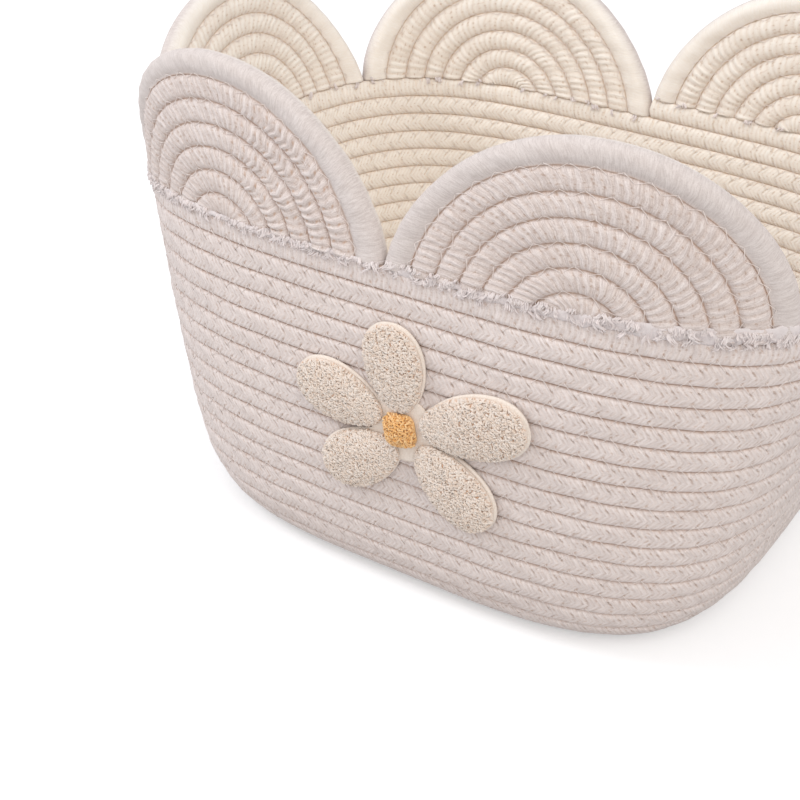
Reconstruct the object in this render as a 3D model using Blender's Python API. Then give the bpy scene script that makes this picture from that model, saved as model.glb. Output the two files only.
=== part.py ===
"""Cotton rope basket with a scalloped rim and a cloth flower on its front wall.

Lengths are in metres. The basket stands on the floor at z = 0, and the origin is under the
straight first length of its rope, in the middle of the floor. The front, which carries the flower,
faces -Y, and +X is to its right as seen from the front.

The body is one rope, wound flat as the floor and then up as the wall, one rope higher per turn.
A place on it is given by the turn angle about Z and by the run, the distance from the edge of the
flat floor, measured along the cloth: below zero on the floor, above zero up the wall.
"""
import bpy
import bmesh
import numpy as np
from math import asin, atan2, ceil, cos, floor, pi, radians, sin, sqrt
from mathutils import Matrix, Vector

# The rope
ROPE_DIAMETER = 0.0092
ROPE_GAP = 0.0003
ROPE_PITCH = ROPE_DIAMETER + ROPE_GAP
SECTION_RESOLUTION = 2
SECTION_SIDES = 4 + 2 * SECTION_RESOLUTION

# The body coil, counted in turns of the rope
BASE_TURNS = 10
WALL_TURNS = 16
STEPS_PER_QUARTER = 6
CORE_ROOM = 0.00095
OVAL_STRETCH = 0.0342
CORE_LEFT_TURN_SHARE = 0.165
CORE_RIGHT_TURN_SHARE = 0.185
FOOT_ROUNDING = 0.0117
SQUARENESS = 3.7
SIDE_LEAN_AT_FOOT = radians(6.2)
SIDE_LEAN_AT_RIM = radians(0.0)
END_LEAN_AT_FOOT = radians(15.6)
END_LEAN_AT_RIM = radians(5.6)

# The scallops, each half of a round coil of rope standing on the rim
SCALLOPS = 6
SCALLOP_ROPES = 7
SCALLOP_SINK = 0.0092
SCALLOP_STEP = radians(20.0)
CUT_CLEARANCE = 0.0006
WELD_DISTANCE = 0.0000001

# The flower, placed from the front middle of the wall
FLOWER_TO_RIGHT = 0.0110
FLOWER_UP_WALL = 0.0925
FLOWER_REACH_UP = 0.0455
FLOWER_REACH_DOWN = 0.0370
BACKING_THICKNESS = 0.0014
BACKING_BORDER = 0.0012
BACKING_POINTS = 72
CENTRE_RADIUS = 0.0076
CENTRE_THICKNESS = 0.0052
PETAL_THICKNESS = 0.0058
PETAL_TAPER_SHARE = 0.25
SEAT_GAP = 0.0003
DOME_SIDES = 20
DOME_RINGS = 8
OUTLINE_POINTS = 180

# name, bearing and distance of its middle from the flower's centre, its own direction, length, width
PETALS = (
    ("petal_right", radians(19.4), 0.0357, radians(18.4), 0.0510, 0.0288),
    ("petal_top", radians(97.6), 0.0278, radians(102.0), 0.0390, 0.0290),
    ("petal_left", radians(167.5), 0.0315, radians(171.0), 0.0435, 0.0276),
    ("petal_lower_left", radians(226.0), 0.0290, radians(213.0), 0.0430, 0.0272),
    ("petal_lower_right", radians(322.0), 0.0322, radians(320.0), 0.0435, 0.0290),
)

# Colours, linear, and how rough each cloth is
COTTON = (0.72, 0.66, 0.62)
COTTON_RIM = (0.75, 0.70, 0.66)
PILE_CREAM = (0.80, 0.68, 0.52)
PILE_YELLOW = (0.80, 0.42, 0.10)
CLOTH_BACKING = (0.76, 0.64, 0.50)
CLOTH_ROUGHNESS = 0.95

HALF_DEPTH = BASE_TURNS * ROPE_PITCH + CORE_ROOM
HALF_WIDTH = HALF_DEPTH + OVAL_STRETCH / 2
COIL_MIDDLE_Y = ROPE_PITCH / 4
STEPS_PER_TURN = 4 * STEPS_PER_QUARTER
HALF_SIDE = pi / SECTION_SIDES
SECTION_RADIUS = ROPE_DIAMETER / 2 / cos(HALF_SIDE)
LAST_TURN = BASE_TURNS + WALL_TURNS + 0.25
PARTING_TURN = BASE_TURNS - 0.5
RIM_RUN = (LAST_TURN - PARTING_TURN) * ROPE_PITCH
PROFILE_STEPS = 400
PROFILE_RUN = RIM_RUN + SCALLOP_ROPES * ROPE_PITCH + 2 * ROPE_PITCH
FULL_TURN = 2 * pi
FRONT = 1.5 * pi


def clear_scene():
    """Remove everything that the file holds."""
    for thing in list(bpy.data.objects):
        bpy.data.objects.remove(thing, do_unlink=True)
    for kind in (bpy.data.meshes, bpy.data.curves, bpy.data.materials):
        for block in list(kind):
            kind.remove(block)


def wall_profile(lean_at_foot, lean_at_rim):
    """Distance out and up of the wall for runs from 0 to PROFILE_RUN, with a rounded foot."""
    runs = np.linspace(0.0, PROFILE_RUN, PROFILE_STEPS)
    rise = np.minimum(runs / RIM_RUN, 1.0)
    lean = lean_at_foot + (lean_at_rim - lean_at_foot) * rise
    slope = (pi / 2 - lean) * (1 - np.exp(-runs / FOOT_ROUNDING))
    middle = (slope[1:] + slope[:-1]) / 2
    step = runs[1] - runs[0]
    out = np.concatenate(([0.0], np.cumsum(np.cos(middle) * step)))
    up = np.concatenate(([0.0], np.cumsum(np.sin(middle) * step)))
    return runs, out, up


SIDE_PROFILE = wall_profile(SIDE_LEAN_AT_FOOT, SIDE_LEAN_AT_RIM)
END_PROFILE = wall_profile(END_LEAN_AT_FOOT, END_LEAN_AT_RIM)


def out_and_up(profile, run):
    """Read a wall profile. On the flat floor the distance out is the run itself."""
    if run < 0:
        return run, 0.0
    return float(np.interp(run, profile[0], profile[1])), float(np.interp(run, profile[0], profile[2]))


def outline(angle, half_width, half_depth):
    """A point of a rounded rectangle, a superellipse."""
    power = 2 / SQUARENESS
    x = abs(cos(angle)) ** power * half_width
    y = abs(sin(angle)) ** power * half_depth
    return (x if cos(angle) > 0 else -x), (y if sin(angle) > 0 else -y)


def body_point(angle, run):
    """The middle of the body's thickness at a turn angle and a run."""
    side_out, side_up = out_and_up(SIDE_PROFILE, run)
    end_out, end_up = out_and_up(END_PROFILE, run)
    x, y = outline(angle, HALF_WIDTH + end_out, HALF_DEPTH + side_out)
    end_share = endness(angle)
    return Vector((x, y + COIL_MIDDLE_Y, ROPE_DIAMETER / 2 + side_up + (end_up - side_up) * end_share))


def endness(angle):
    """How much a place belongs to the end walls, from 0 on the long sides to 1 on the ends."""
    across = abs(cos(angle)) ** (2 * (SQUARENESS - 1) / SQUARENESS) / HALF_WIDTH
    along = abs(sin(angle)) ** (2 * (SQUARENESS - 1) / SQUARENESS) / HALF_DEPTH
    return across ** 2 / (across ** 2 + along ** 2)


def directions(points):
    """The direction of a path at each of its points, halfway between its two neighbours' legs."""
    legs = [(b - a).normalized() for a, b in zip(points, points[1:])]
    legs = [legs[0]] + legs + [legs[-1]]
    return [(before + after).normalized() for before, after in zip(legs, legs[1:])]


def tilt_to_face(direction, facing):
    """Tilt that turns a section whose up side is +Z until one of its flats faces the neighbour."""
    up = Vector((0, 0, 1))
    up = (up - direction * up.dot(direction)).normalized()
    wanted = (facing - direction * facing.dot(direction)).normalized()
    return HALF_SIDE + atan2(direction.dot(up.cross(wanted)), up.dot(wanted))


def section_share(neighbour, facing):
    """How much of its full size the section has, so that it stays clear of a rope beside it.

    Where the floor turns up into the wall the flats of two ropes don't meet face to face.
    """
    turned = min(neighbour.angle(facing), HALF_SIDE)
    room = (neighbour.length - ROPE_GAP) / 2
    return min(room / cos(HALF_SIDE - turned) / SECTION_RADIUS, 1.0)


def make_material(name, colour):
    material = bpy.data.materials.new(name)
    material.use_nodes = True
    shader = material.node_tree.nodes["Principled BSDF"]
    shader.inputs["Base Color"].default_value = (*colour, 1.0)
    shader.inputs["Roughness"].default_value = CLOTH_ROUGHNESS
    shader.inputs["Metallic"].default_value = 0.0
    material.diffuse_color = (*colour, 1.0)
    return material


def place(thing, collection, colour):
    """Link an object into the basket's collection with a material of its own."""
    thing.data.materials.append(make_material(thing.name, colour))
    collection.objects.link(thing)
    return thing


def rope_curve(name, points, facings, shares):
    """A length of rope through points, with its flats turned to the ropes beside it."""
    curve = bpy.data.curves.new(name, "CURVE")
    curve.dimensions = "3D"
    curve.twist_mode = "Z_UP"
    curve.bevel_depth = SECTION_RADIUS
    curve.bevel_resolution = SECTION_RESOLUTION
    curve.use_fill_caps = True
    spline = curve.splines.new("POLY")
    spline.points.add(len(points) - 1)
    tilts = [tilt_to_face(direction, facing) for direction, facing in zip(directions(points), facings)]
    for knot, point, tilt, share in zip(spline.points, points, tilts, shares):
        knot.co = (*point, 1.0)
        knot.tilt = tilt
        knot.radius = share
    return bpy.data.objects.new(name, curve)


def eased_angle(turn):
    """Turn angle for a count of turns, made to go slowly where the sides are flat.

    Even steps of the count are then nearly even steps along the rope.
    """
    whole = floor(4 * turn)
    share = 4 * turn - whole
    return (whole + share * share * (3 - 2 * share)) * pi / 2


def coil_run(turn):
    """Run of the body rope after a number of turns."""
    return (turn - PARTING_TURN) * ROPE_PITCH


def coil_point(turn):
    """The middle of the body rope after a number of turns."""
    return body_point(eased_angle(turn), coil_run(turn))


def across_to(turn, here, direction):
    """The way square across the rope from one of its points to where it is at another turn."""
    way = coil_point(turn) - here
    return way - direction * way.dot(direction)


def make_core(collection):
    """The straight first length of the rope, midway between the coil's ropes on its two sides."""
    left = (coil_point(0.5 - CORE_LEFT_TURN_SHARE) + coil_point(0.5 + CORE_LEFT_TURN_SHARE)) / 2
    right = (coil_point(CORE_RIGHT_TURN_SHARE) + coil_point(1 - CORE_RIGHT_TURN_SHARE)) / 2
    sideways = Vector((0, 1, 0))
    core = rope_curve("base_core", [left, right], [sideways, sideways], [1.0, 1.0])
    place(core, collection, COTTON)


def make_body(collection):
    """Floor and wall: one rope, with a point at every step of the turn, parted under the wall."""
    make_core(collection)
    turns = [step / STEPS_PER_TURN for step in range(round(LAST_TURN * STEPS_PER_TURN) + 1)]
    points = [coil_point(turn) for turn in turns]
    facings = []
    shares = []
    for turn, here, direction in zip(turns, points, directions(points)):
        below = across_to(turn - 1, here, direction)
        above = across_to(turn + 1, here, direction)
        wall_share = min(max(coil_run(turn) / ROPE_PITCH, 0.0), 1.0)
        facing = (above * wall_share - below).normalized()
        facings.append(facing)
        shares.append(min(section_share(above, facing), section_share(below, -facing)))
    last = round(PARTING_TURN * STEPS_PER_TURN)
    leg = points[last + 1] - points[last]
    joint = points[last] + leg / 2
    base = points[:last + 1] + [joint]
    wall = [joint + leg.normalized() * ROPE_GAP] + points[last + 1:]
    base_coil = rope_curve("base_coil", base, facings[:last + 2], shares[:last + 2])
    wall_coil = rope_curve("wall_coil", wall, facings[last:], shares[last:])
    place(base_coil, collection, COTTON)
    place(wall_coil, collection, COTTON)


def rim_table():
    """Turn angles, their distances along the rim from the back middle, and the length of one turn.

    The table goes on past the back middle on both sides.
    """
    once = 40 * STEPS_PER_TURN
    extra = once // 8
    angles = [eased_angle(0.25 + step / once) for step in range(-extra, once + extra + 1)]
    points = [body_point(angle, RIM_RUN - SCALLOP_SINK) for angle in angles]
    legs = [(b - a).length for a, b in zip(points, points[1:])]
    lengths = np.concatenate(([0.0], np.cumsum(legs)))
    return np.array(angles), lengths - lengths[extra], lengths[extra + once] - lengths[extra]


def scallop_point(rim, along, above):
    """A place on the upward extension of the wall, along the rim and above the scallop's middle."""
    angles, lengths, once_round = rim
    angle = float(np.interp(along, lengths, angles))
    climb = (along / once_round - 1) * ROPE_PITCH
    return body_point(angle, RIM_RUN + climb + ROPE_PITCH / 2 + above - SCALLOP_SINK)


def ring_angles(radius):
    """Angles of a half ring's points: every step from its top until it is well under the rim."""
    end = asin((SCALLOP_SINK - ROPE_DIAMETER / 2) / (radius + ROPE_PITCH))
    reach = ceil((pi / 2 - end) / SCALLOP_STEP)
    return [pi / 2 + step * SCALLOP_STEP for step in range(-reach, reach + 1)]


def cut_ends(name, whole, left, right):
    """Cut a ring straight across along the line from left to right and keep what is above it."""
    lengthwise = (right - left).normalized()
    through = lengthwise.cross(Vector((0, 0, 1)))
    upward = through.cross(lengthwise)
    bpy.context.scene.collection.objects.link(whole)
    evaluated = whole.evaluated_get(bpy.context.evaluated_depsgraph_get())
    mesh = bpy.data.meshes.new_from_object(evaluated)
    mesh.name = name
    form = bmesh.new()
    form.from_mesh(mesh)
    bmesh.ops.remove_doubles(form, verts=form.verts, dist=WELD_DISTANCE)
    everything = form.verts[:] + form.edges[:] + form.faces[:]
    bmesh.ops.bisect_plane(
        form, geom=everything, dist=WELD_DISTANCE, plane_co=left, plane_no=upward, clear_inner=True)
    bmesh.ops.holes_fill(form, edges=[edge for edge in form.edges if edge.is_boundary], sides=0)
    bmesh.ops.recalc_face_normals(form, faces=form.faces)
    form.to_mesh(mesh)
    form.free()
    ring_body = bpy.data.objects.new(name, mesh)
    ring_body.matrix_world = whole.matrix_world
    bpy.data.objects.remove(whole, do_unlink=True)
    return ring_body


def make_scallop(rim, place_number, collection):
    """Seven half rings of rope, one outside another, cut straight across where they meet the rim."""
    middle = (place_number + 0.5) / SCALLOPS * rim[2]
    for ring in range(1, SCALLOP_ROPES + 1):
        radius = (ring + 0.5) * ROPE_PITCH
        angles = ring_angles(radius)
        points = [scallop_point(rim, middle - radius * cos(a), radius * sin(a)) for a in angles]
        wider = radius + ROPE_PITCH
        outer = [scallop_point(rim, middle - wider * cos(a), wider * sin(a)) for a in angles]
        facings = [(beyond - here).normalized() for here, beyond in zip(points, outer)]
        outermost = ring == SCALLOP_ROPES
        piece = "rim_rope" if outermost else f"arc_{ring}"
        name = f"scallop_{place_number + 1}_{piece}"
        whole = rope_curve(f"{name}_uncut", points, facings, [1.0] * len(points))
        half_chord = sqrt(radius ** 2 - SCALLOP_SINK ** 2)
        cut = SCALLOP_SINK + CUT_CLEARANCE
        left, right = [scallop_point(rim, middle + side * half_chord, cut) for side in (-1, 1)]
        ring_body = cut_ends(name, whole, left, right)
        place(ring_body, collection, COTTON_RIM if outermost else COTTON)


def flower_frame():
    """Local frame of the flower: X to the right, Y up the wall, Z out of it, Z = 0 on its back."""
    low = FLOWER_UP_WALL - FLOWER_REACH_DOWN
    high = FLOWER_UP_WALL + FLOWER_REACH_UP
    up = (body_point(FRONT, high) - body_point(FRONT, low)).normalized()
    right = Vector((1, 0, 0))
    out = right.cross(up)
    middle = body_point(FRONT, FLOWER_UP_WALL)
    rows = [body_point(FRONT, run) for run in np.linspace(low, high, WALL_TURNS)]
    proud = max((row - middle).dot(out) for row in rows)
    origin = middle + out * (proud + ROPE_DIAMETER / 2 + SEAT_GAP) + right * FLOWER_TO_RIGHT
    return Matrix.Translation(origin) @ Matrix((right, up, out)).transposed().to_4x4()


def petal_place(petal, along, across):
    """Place a point of a petal in the flower: along and across go from -1 to 1 over its outline."""
    _, bearing, distance, direction, length, width = petal
    x = length / 2 * along
    y = width / 2 * across * (1 + PETAL_TAPER_SHARE * along)
    turned = Vector((x * cos(direction) - y * sin(direction), x * sin(direction) + y * cos(direction)))
    return turned + distance * Vector((cos(bearing), sin(bearing)))


def flower_edge(direction):
    """Distance from the flower's centre to its farthest cloth in a direction, and the border."""
    reach = CENTRE_RADIUS
    for petal in PETALS:
        for step in range(OUTLINE_POINTS):
            turn = FULL_TURN * step / OUTLINE_POINTS
            point = petal_place(petal, cos(turn), sin(turn))
            off = abs(point.angle_signed(Vector((cos(direction), sin(direction)))))
            if off < FULL_TURN / BACKING_POINTS:
                reach = max(reach, point.length)
    return reach + BACKING_BORDER


def make_backing(frame, collection):
    """The flat cloth behind the petals, a border wider than they are."""
    curve = bpy.data.curves.new("flower_backing", "CURVE")
    curve.dimensions = "2D"
    curve.fill_mode = "BOTH"
    curve.extrude = BACKING_THICKNESS / 2
    spline = curve.splines.new("POLY")
    spline.points.add(BACKING_POINTS - 1)
    spline.use_cyclic_u = True
    for step, knot in enumerate(spline.points):
        angle = FULL_TURN * step / BACKING_POINTS
        edge = flower_edge(angle)
        knot.co = (edge * cos(angle), edge * sin(angle), 0.0, 1.0)
    thing = place(bpy.data.objects.new("flower_backing", curve), collection, CLOTH_BACKING)
    thing.matrix_world = frame @ Matrix.Translation((0, 0, BACKING_THICKNESS / 2))


def make_dome(name, frame, shape, collection, colour):
    """The upper half of a ball, flat underneath, given its outline and height by a shape function."""
    mesh = bpy.data.meshes.new(name)
    form = bmesh.new()
    bmesh.ops.create_uvsphere(form, u_segments=DOME_SIDES, v_segments=DOME_RINGS, radius=1)
    half_ring = 1 / (2 * DOME_RINGS)
    bmesh.ops.delete(form, geom=[vert for vert in form.verts if vert.co.z < -half_ring], context="VERTS")
    bmesh.ops.holes_fill(form, edges=[edge for edge in form.edges if edge.is_boundary], sides=0)
    bmesh.ops.recalc_face_normals(form, faces=form.faces)
    for vert in form.verts:
        vert.co = shape(vert.co)
    form.to_mesh(mesh)
    form.free()
    mesh.shade_smooth()
    thing = place(bpy.data.objects.new(name, mesh), collection, colour)
    thing.matrix_world = frame


def make_flower(collection):
    """Backing, five petals of looped pile and the yellow centre, all on the front wall."""
    frame = flower_frame()
    make_backing(frame, collection)
    seat = frame @ Matrix.Translation((0, 0, BACKING_THICKNESS + SEAT_GAP))

    def centre_shape(at):
        return Vector((at.x * CENTRE_RADIUS, at.y * CENTRE_RADIUS, max(at.z, 0.0) * CENTRE_THICKNESS))

    make_dome("flower_centre", seat, centre_shape, collection, PILE_YELLOW)
    for petal in PETALS:

        def petal_shape(at, petal=petal):
            return (*petal_place(petal, at.x, at.y), max(at.z, 0.0) * PETAL_THICKNESS)

        make_dome(petal[0], seat, petal_shape, collection, PILE_CREAM)


def main():
    clear_scene()
    basket = bpy.data.collections.new("cotton_rope_basket")
    bpy.context.scene.collection.children.link(basket)
    make_body(basket)
    rim = rim_table()
    for place_number in range(SCALLOPS):
        make_scallop(rim, place_number, basket)
    make_flower(basket)


main()
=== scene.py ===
"""The looks of the cotton rope basket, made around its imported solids.

Lengths are in metres, in the frame of the solids: the floor is z = 0, the front with the flower
faces -Y, and +X is to its right. A place on the basket's cloth is given by the turn angle about Z
and by the run, the distance from the edge of the flat floor measured along the cloth.
"""

import bpy
import numpy as np
from math import cos, pi, radians, sin, sqrt
from mathutils import Matrix, Vector


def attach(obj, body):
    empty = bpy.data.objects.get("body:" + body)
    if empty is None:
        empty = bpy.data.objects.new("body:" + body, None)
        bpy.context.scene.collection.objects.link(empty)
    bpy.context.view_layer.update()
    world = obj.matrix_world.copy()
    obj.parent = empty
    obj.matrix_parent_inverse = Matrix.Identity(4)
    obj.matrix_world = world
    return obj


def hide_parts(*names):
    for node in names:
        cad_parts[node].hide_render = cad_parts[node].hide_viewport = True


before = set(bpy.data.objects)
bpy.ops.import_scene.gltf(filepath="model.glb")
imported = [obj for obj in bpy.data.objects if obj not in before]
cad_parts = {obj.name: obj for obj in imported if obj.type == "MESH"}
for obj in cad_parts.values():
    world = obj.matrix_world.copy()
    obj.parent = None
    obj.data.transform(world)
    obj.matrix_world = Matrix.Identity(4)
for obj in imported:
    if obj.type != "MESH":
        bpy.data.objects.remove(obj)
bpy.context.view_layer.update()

# The rope and its coil, as the solids have them. The coil starts and ends in the middle of the back.
ROPE_DIAMETER = 0.0092
ROPE_GAP = 0.0003
ROPE_PITCH = ROPE_DIAMETER + ROPE_GAP
BASE_TURNS = 10
WALL_TURNS = 16
BACK_TURN = 0.25
CORE_ROOM = 0.00095
OVAL_STRETCH = 0.0342
FOOT_ROUNDING = 0.0117
SQUARENESS = 3.7
# lean at the foot and at the rim
SIDE_LEANS = radians(6.2), radians(0.0)
END_LEANS = radians(15.6), radians(5.6)
SCALLOPS = 6
SCALLOP_ROPES = 7
SCALLOP_SINK = 0.0092
CUT_GAP = 0.0001

# The flower, as the solids have it
FLOWER_TO_RIGHT = 0.0110
FLOWER_UP_WALL = 0.0925
FLOWER_REACH_UP = 0.0455
FLOWER_REACH_DOWN = 0.0370
BACKING_THICKNESS = 0.0014
CENTRE_RADIUS = 0.0076
CENTRE_THICKNESS = 0.0052
PETAL_THICKNESS = 0.0058
SEAT_GAP = 0.0003
# name, bearing and distance of its middle from the flower's centre, its own direction, length, width
PETALS = (
    ("petal_right", radians(19.4), 0.0357, radians(18.4), 0.0510, 0.0288),
    ("petal_top", radians(97.6), 0.0278, radians(102.0), 0.0390, 0.0290),
    ("petal_left", radians(167.5), 0.0315, radians(171.0), 0.0435, 0.0276),
    ("petal_lower_left", radians(226.0), 0.0290, radians(213.0), 0.0430, 0.0272),
    ("petal_lower_right", radians(322.0), 0.0322, radians(320.0), 0.0435, 0.0290),
)

HALF_PITCH = ROPE_PITCH / 2
HALF_ROPE = ROPE_DIAMETER / 2
HALF_DEPTH = BASE_TURNS * ROPE_PITCH + CORE_ROOM
HALF_WIDTH = HALF_DEPTH + OVAL_STRETCH / 2
COIL_MIDDLE_Y = ROPE_PITCH / 4
LAST_TURN = BASE_TURNS + WALL_TURNS + BACK_TURN
PARTING_TURN = BASE_TURNS - 0.5
RIM_RUN = (LAST_TURN - PARTING_TURN) * ROPE_PITCH
PROFILE_STEPS = 400
PROFILE_RUN = RIM_RUN + (SCALLOP_ROPES + 2) * ROPE_PITCH
TABLE_STEPS_PER_TURN = 4000
TABLE_SPARE_TURNS = 1.5
RIM_SPARE_TURNS = 0.2
ANGLE_STEP = 1e-4
RUN_STEP = 1e-5
FRONT = 1.5 * pi

# The soft ends lean out a little more near the rim than the solids do
LEFT_END_FLARE = 0.0110
RIGHT_END_FLARE = 0.0070
FLARE_SHARE = 1.6
FLARE_START_SHARE = 0.5

# Bumps of the whole cloth: how often round the turn angle and along the run, and the phase
UNEVENNESS = 0.00014
UNEVEN_WAVES = ((7, 120, 0.0), (13, -230, 1.3), (29, 610, 0.4))
UNEVEN_START_SHARE = 0.5

# How a rope's section is drawn: shares of its half width where the outer and the inner face have
# their points, from the middle to the groove
SECTION_POWER = 5.0
OUTER_SHARES = (0.0, 0.23, 0.46, 0.69, 0.86, 0.95, 1.0)
INNER_SHARES = (0.0, 0.5, 0.9, 1.0)
SIDE_FLAT_SHARE = 0.70
HOLE_SHARE = 0.46
HOLE_NEARNESS = 0.05
# Painted shade in the grooves: places across the rope and how much of it each has
GROOVE_SHADE_PLACES = (0.86, 0.95, 1.0)
GROOVE_SHADE_SHARES = (0.0, 0.4, 1.0)
# Painted bounce light of the inner face: where on the section it starts and how fast it grows
INSIDE_OFFSET = 0.3
INSIDE_SLOPE = 1.5

# The braid of the body rope: three rings of points to a strand, twelve to a stitch. The strands of
# the last turn lie straighter across the rope.
RING_STEP = 0.00075
RINGS_PER_STITCH = 12
STITCH = RINGS_PER_STITCH * RING_STEP
RINGS_PER_STRAND = 3
STRAND_HEIGHT_SHARES = (0.0, 1.0, 0.7)
STRAND_HEIGHT_RANGE = (0.4, 1.4)
STRAND_JITTER = 0.00022
STRAND_SEED = 40
STRAND_SLANT = 0.0038
STRAND_RELIEF = 0.00016
STRAND_RELIEF_POWER = 6
LAST_SLANT_TURNS = (LAST_TURN - 1.3, LAST_TURN - 0.9)
LAST_SLANT_SHARES = (1.0, 0.25)
HOLE_DEPTH = 0.00055
BASE_SPLITS = (BACK_TURN, 7.0, PARTING_TURN)
WALL_SPLITS = (PARTING_TURN, 13.25, 16.75, 20.0, 23.25, LAST_TURN)

# The tight fold at the rope's start
CORE_TURNS = 9
FOLD_POINTS = 25
ROUTE_STEP = 1e-4

# The ropes of the scallops: four rings of points to a puffed strand. The strands lean in full from
# about a fifth of the way round, and not at the cut ends.
PUFF_STEP = 0.0009
PUFF_POWER = 3.8
RINGS_PER_PUFF = 4
PUFF_HEIGHT_SHARES = (0.0, 0.75, 1.0, 0.6)
PUFF_HEIGHT_RANGE = (0.25, 1.25)
PUFF_RELIEF = 0.00062
PUFF_RELIEF_POWER = 4
PUFF_LEAST_STRENGTH = 0.35
PUFF_SLANT = 0.0008
PUFF_LEAN = 0.0016
PUFF_TILT = 0.0006
LEAN_FROM_ENDS = 6
RIM_HALF_THICKNESS = 0.0049
RIM_POWER = 2.35
SCALLOP_SEED = 500

# The feet of the outer half rings spread, as they meet in the notches
FOOT_FLARE = 0.0033
FOOT_FLARE_LIMIT = 1.1
FOOT_FLARE_POWER = 6

# The part of one scallop that looks knitted: its first ring and the angles where it sets in
KNIT_SCALLOP = 2
KNIT_FIRST_RING = 3
KNIT_ANGLES = (1.6, 2.2)
KNIT_SLANT = 0.0024
KNIT_STRENGTH = 0.8
# Painted shade in the knit's holes, on every few rings
KNIT_HOLE_SHADE = 1.4
KNIT_HOLE_RINGS = 8

# Sewing thread
THREAD_RADIUS = 0.00014
THREAD_REST = 0.00011
THREAD_DIP = 0.00035
THREAD_SINK = 0.0005
THREAD_SHARES = (0.0, 0.1, 0.5, 0.9, 1.0)
FIRST_STITCH_TURN = 0.3
SCALLOP_HOLE_SHARE = 0.72

# Frayed ends of the cut ropes:
# name, only at the rope ends or all along, number, in clumps of, radius, shortest, longest,
# taper, sides
FRAY_KINDS = (
    ("yarn_ends", True, 42, 6, 0.00028, 0.0020, 0.0046, (0.9, 1.0, 1.0, 1.0, 0.85, 0.5), 5),
    ("lint_tufts", False, 560, 7, 0.00022, 0.0012, 0.0030, (0.9, 1.0, 1.0, 0.9, 0.7, 0.4), 4),
    ("fray", True, 16, 1, 0.00006, 0.0025, 0.0065, (1.0, 1.0, 1.0, 0.9, 0.7, 0.4), 3),
    ("lint", False, 420, 1, 0.00006, 0.0015, 0.0040, (1.0, 1.0, 1.0, 1.0, 0.8, 0.6), 3),
)
FRAY_POINTS = 6
FRAY_SEED = 100
# The spread of a clump and of each end in it
FRAY_LEAN = (0.40, 0.16)
FRAY_CURL = (0.16, 0.05)
FRAY_LIFT = (0.0004, 0.0001)
FRAY_CURL_WAVE = 3.5
FRAY_SAG = 0.25
FRAY_OUTSIDE_SHARE = 0.9
FRAY_STARTS_OUT = (0.0036, 0.0047)
FRAY_ENDS_OUT = (0.0049, 0.0058)
FRAY_END_SHARE = 0.9
FRAY_SCATTER = 0.00045
FRAY_LENGTH_RANGE = (0.75, 1.2)
# How far above the cut the fray starts, at places along a scallop
FRAY_PLACES = (-0.02, 0.04)
LOW_FRAY = (0.0022, 0.0022)
TALL_FRAY = (0.0042, 0.0056)
TALL_FRAY_SCALLOP = 3

# Felted lint over the cut
BED_SEED = 200
BED_STEP = 0.0007
BED_COLUMNS = 14
BED_THICKNESS = 0.00062
BED_ROUGHNESS = 0.00010
BED_SINK = 0.0003
BED_END_GAP = 0.001
BED_FADE = 0.002
BED_LEAST_SHARE = 0.05
BED_RINGS_PER_LUMP = 4
HEIGHT_LUMPS, MIDDLE_LUMPS, THICKNESS_LUMPS = 0.16, 0.0003, 0.2
BED_PLACES = (-0.02, 0.04, 0.07)
LOW_BED = (0.0003, 0.0003, 0.0003), (0.0011, 0.0011, 0.0011)
TALL_BED = (0.0004, 0.0018, 0.0040), (0.0013, 0.0032, 0.0032)

# The flower as it is drawn: a little smaller than the solids, its petals flatter and less tapered
FLOWER_DRAW_SHARE = 0.97
PETAL_DRAW_SHARE = 0.945
PETAL_DRAW_TAPER_SHARE = 0.16
PETAL_PILE_ROOM = 0.0030
PETAL_ROUND_POWER = 0.7
CENTRE_PILE_ROOM = 0.0012
CENTRE_SQUARENESS = 0.09
CENTRE_TURN = 2.4
BORDER_SHOWN = 0.0004
BACKING_LEAST_REACH = 0.0150
BACKING_SIDES = 288
BACKING_RINGS = 16
BACKING_EDGE_DROP = 0.35
BACKING_EDGE_POWER = 12
OUTLINE_POINTS = 721
CLOTH_EDGE = 0.0004
DOME_RINGS = 10
DOME_SIDES = 48

# Pile of the flower: loops of yarn, spread by the golden angle and nudged
LOOP_RADIUS = 0.00062
LOOP_THREAD = 0.00041
LOOP_SIDES = 5
LOOPS_PER_PETAL = 1500
LOOPS_PETAL_AREA = 0.0435 * 0.0280
LOOPS_IN_CENTRE = 240
LOOP_SPREAD_POWER = 0.44
LOOP_SPREAD_SHARE = 0.98
LOOP_EDGE_SHARE = 0.975
LOOP_NUDGES = (0.012, 0.05)
LOOP_UPRIGHT = 0.35
LOOP_SIZE_RANGE = (0.75, 1.3)
LOOP_TILT = 0.5
LOOP_TWIST = 0.25
LOOP_HALF_SWEEP = 2.3
LOOP_POINTS = 7
LOOP_RISE = 0.12
LOOP_WIDTH_SHARE = 0.85
SLOPE_STEP = 0.01
PETAL_SEED = 300
CENTRE_SEED = 320
# tone of the dome under the loops, and how high it counts in its middle; counted low there, it gets
# the painted shade of the pile's recesses
BARE_TONE = [0.6, 0.8, 0.0, 1.0]
BARE_MIDDLE_HEIGHT = 0.05

# Noises of the cotton: scales along, across and out of the rope, detail, roughness
GRAIN_NOISE = (2300.0, 2300.0, 2300.0), 3.0, 0.7
BLOTCH_NOISE = (90.0, 160.0, 90.0), 2.0, 0.5
SPECK_NOISE = (420.0, 900.0, 420.0), 2.0, 0.5
PATCH_NOISE = (380.0, 100.0, 100.0), 3.0, 0.5

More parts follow.
